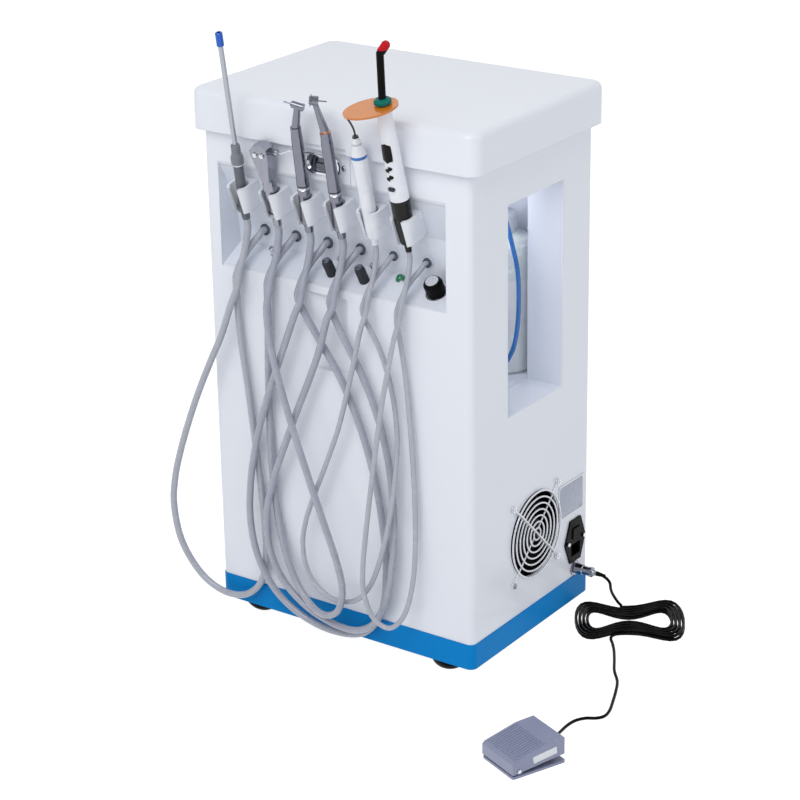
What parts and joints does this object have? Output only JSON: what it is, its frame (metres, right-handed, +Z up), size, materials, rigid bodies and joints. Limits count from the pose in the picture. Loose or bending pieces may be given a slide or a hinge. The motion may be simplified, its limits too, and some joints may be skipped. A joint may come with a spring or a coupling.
{
  "type": "portable dental unit",
  "caption": "Portable dental treatment cabinet on casters with a hinged lid, a front instrument recess with hoses, a side window with bottle bay, a cooling fan and a corded foot pedal.",
  "frame": {"origin": "on the floor, under the centre of the cabinet's footprint", "axes": "+Z up; -Y is the front with the instruments; +X is the side with the window and the fan"},
  "size_m": [0.648, 0.4978, 0.8271],
  "materials": {
    "white_shell": "smooth white, high gloss",
    "blue_band": "smooth blue, gloss",
    "white_plastic": "white, satin gloss",
    "grey_steel": "light grey powder coat",
    "bright_metal": "polished",
    "steel": "fine satin",
    "dark_chrome": "dark polished",
    "black_plastic": "matte black",
    "dark_plastic": "matte dark grey",
    "grey_plastic": "matte grey",
    "green_lens": "translucent green lens",
    "clear_plastic": "translucent plastic",
    "blue_tube": "translucent blue",
    "plate_metal": "satin, bare",
    "cast_metal": "cast, painted grey",
    "brass_block": "machined",
    "board": "green laminate",
    "blue_button": "blue, matte",
    "black_glass": "black, gloss",
    "orange_shield": "translucent orange",
    "hose_light": "translucent grey, satin",
    "hose_grey": "grey silicone, satin",
    "grey_blue_steel": "grey-blue hammered paint",
    "cord_black": "black, satin",
    "wheel_black": "black tread"
  },
  "bodies": {
    "cabinet": {"base_tray": "blue_band", "cabinet_shell": "white_shell", "rear_panel": "grey_steel", "cover_screws": "bright_metal", "lid_hinges": "steel", "latch_bezel": "dark_chrome", "instrument_panel": "white_shell", "instrument_holders": "white_shell", "needle_valves": "bright_metal", "pilot_lamp": "green_lens", "bottle_bay": "white_shell", "bottles": "clear_plastic", "bottle_caps": "dark_plastic", "bottle_tube": "blue_tube", "fan_frame": "black_plastic", "fan_guard": "bright_metal", "rating_plate": "plate_metal", "power_inlet": "black_plastic", "pedal_socket": "steel", "compressor": "cast_metal", "air_tank": "grey_steel", "valve_block": "brass_block", "control_board": "board", "suction_hose": "hose_light", "syringe_hose": "hose_grey", "handpiece_hoses": "hose_grey", "thin_hoses": "hose_light", "pedal_base": "grey_blue_steel", "pedal_spring": "bright_metal", "pedal_plug": "cord_black", "pedal_cord": "cord_black", "pedal_cord_hank": "cord_black"},
    "caster_fl": {"caster_fork_fl": "steel"},
    "wheel_fl": {"caster_wheel_fl": "wheel_black"},
    "caster_fr": {"caster_fork_fr": "steel"},
    "wheel_fr": {"caster_wheel_fr": "wheel_black"},
    "caster_bl": {"caster_fork_bl": "steel"},
    "wheel_bl": {"caster_wheel_bl": "wheel_black"},
    "caster_br": {"caster_fork_br": "steel"},
    "wheel_br": {"caster_wheel_br": "wheel_black"},
    "fan_rotor": {"fan_rotor": "black_plastic"},
    "lid": {"lid": "white_shell"},
    "latch_turn": {"latch_turn": "dark_chrome"},
    "power_knob": {"power_knob": "black_plastic"},
    "flow_knob_1": {"flow_knob_1": "dark_plastic"},
    "flow_knob_2": {"flow_knob_2": "dark_plastic"},
    "suction": {"suction_handle": "grey_plastic", "suction_tip": "clear_plastic"},
    "syringe": {"syringe_body": "steel", "syringe_nozzle": "bright_metal"},
    "air_button": {"air_button": "blue_button"},
    "water_button": {"water_button": "blue_button"},
    "handpiece_1": {"handpiece_1": "steel"},
    "handpiece_2": {"handpiece_2": "steel"},
    "scaler": {"scaler": "white_plastic"},
    "light": {"curing_light": "white_plastic"},
    "light_button": {"light_button": "dark_plastic"},
    "light_guide": {"light_guide": "black_glass", "light_shield": "orange_shield"},
    "pedal_treadle": {"pedal_treadle": "grey_blue_steel"}
  },
  "joints": [
    {"name": "swivel_fl", "type": "hinge", "parent": "cabinet", "child": "caster_fl", "pos_m": [-0.15, -0.094, 0.058], "axis": [0, 0, 1], "continuous": true},
    {"name": "roll_fl", "type": "hinge", "parent": "caster_fl", "child": "wheel_fl", "pos_m": [-0.16178, -0.09949, 0.025], "axis": [0.4226, -0.9063, 0], "continuous": true},
    {"name": "swivel_fr", "type": "hinge", "parent": "cabinet", "child": "caster_fr", "pos_m": [0.15, -0.094, 0.058], "axis": [0, 0, 1], "continuous": true},
    {"name": "roll_fr", "type": "hinge", "parent": "caster_fr", "child": "wheel_fr", "pos_m": [0.13962, -0.10182, 0.025], "axis": [0.6018, -0.7986, 0], "continuous": true},
    {"name": "swivel_bl", "type": "hinge", "parent": "cabinet", "child": "caster_bl", "pos_m": [-0.15, 0.094, 0.058], "axis": [0, 0, 1], "continuous": true},
    {"name": "roll_bl", "type": "hinge", "parent": "caster_bl", "child": "wheel_bl", "pos_m": [-0.16126, 0.1005, 0.025], "axis": [-0.5, -0.866, 0], "continuous": true},
    {"name": "swivel_br", "type": "hinge", "parent": "cabinet", "child": "caster_br", "pos_m": [0.15, 0.094, 0.058], "axis": [0, 0, 1], "continuous": true},
    {"name": "roll_br", "type": "hinge", "parent": "caster_br", "child": "wheel_br", "pos_m": [0.14254, 0.08335, 0.025], "axis": [0.8192, -0.5736, 0], "continuous": true},
    {"name": "fan_spin", "type": "hinge", "parent": "cabinet", "child": "fan_rotor", "pos_m": [0.18, 0.006, 0.1605], "axis": [1, 0, 0], "continuous": true},
    {"name": "lid_open", "type": "hinge", "parent": "cabinet", "child": "lid", "pos_m": [0, 0.145, 0.664], "axis": [-1, 0, 0], "range_deg": [0, 95]},
    {"name": "latch_turn", "type": "hinge", "parent": "cabinet", "child": "latch_turn", "pos_m": [-0.009, -0.141, 0.651], "axis": [0, -1, 0], "range_deg": [0, 90]},
    {"name": "power_turn", "type": "hinge", "parent": "cabinet", "child": "power_knob", "pos_m": [0.133, -0.11457, 0.50733], "axis": [0, -0.4926, 0.8703], "range_deg": [-150, 150]},
    {"name": "flow_turn_1", "type": "hinge", "parent": "cabinet", "child": "flow_knob_1", "pos_m": [-0.0185, -0.1193, 0.50465], "axis": [0, -0.4926, 0.8703], "range_deg": [-135, 135]},
    {"name": "flow_turn_2", "type": "hinge", "parent": "cabinet", "child": "flow_knob_2", "pos_m": [0.0305, -0.1193, 0.50465], "axis": [0, -0.4926, 0.8703], "range_deg": [-135, 135]},
    {"name": "suction_lift", "type": "slide", "parent": "cabinet", "child": "suction", "axis": [0, -0.2419, 0.9703], "range_m": [0, 0.06]},
    {"name": "syringe_lift", "type": "slide", "parent": "cabinet", "child": "syringe", "axis": [0, -0.2419, 0.9703], "range_m": [0, 0.06]},
    {"name": "handpiece_1_lift", "type": "slide", "parent": "cabinet", "child": "handpiece_1", "axis": [0, -0.2419, 0.9703], "range_m": [0, 0.06]},
    {"name": "handpiece_2_lift", "type": "slide", "parent": "cabinet", "child": "handpiece_2", "axis": [0, -0.2419, 0.9703], "range_m": [0, 0.06]},
    {"name": "scaler_lift", "type": "slide", "parent": "cabinet", "child": "scaler", "axis": [0, -0.2419, 0.9703], "range_m": [0, 0.06]},
    {"name": "light_lift", "type": "slide", "parent": "cabinet", "child": "light", "axis": [0, -0.2419, 0.9703], "range_m": [0, 0.06]},
    {"name": "air_button_press", "type": "slide", "parent": "syringe", "child": "air_button", "axis": [0, 0.9703, 0.2419], "range_m": [0, 0.0012], "stiffness_N_per_m": 400, "springref_m": -0.001},
    {"name": "water_button_press", "type": "slide", "parent": "syringe", "child": "water_button", "axis": [0, 0.9703, 0.2419], "range_m": [0, 0.0012], "stiffness_N_per_m": 400, "springref_m": -0.001},
    {"name": "light_button_press", "type": "slide", "parent": "light", "child": "light_button", "axis": [0, 0.9703, 0.2419], "range_m": [0, 0.0012], "stiffness_N_per_m": 400, "springref_m": -0.001},
    {"name": "guide_turn", "type": "hinge", "parent": "light", "child": "light_guide", "pos_m": [0.1075, -0.1425, 0.592], "axis": [0, -0.2419, 0.9703], "range_deg": [-60, 60]},
    {"name": "treadle_press", "type": "hinge", "parent": "cabinet", "child": "pedal_treadle", "pos_m": [0.33067, -0.2747, 0.009], "axis": [-0.9205, 0.3907, 0], "range_deg": [0, 5], "stiffness_Nm_per_rad": 2, "springref_deg": -5.73, "deforming": ["pedal_spring"]}
  ]
}
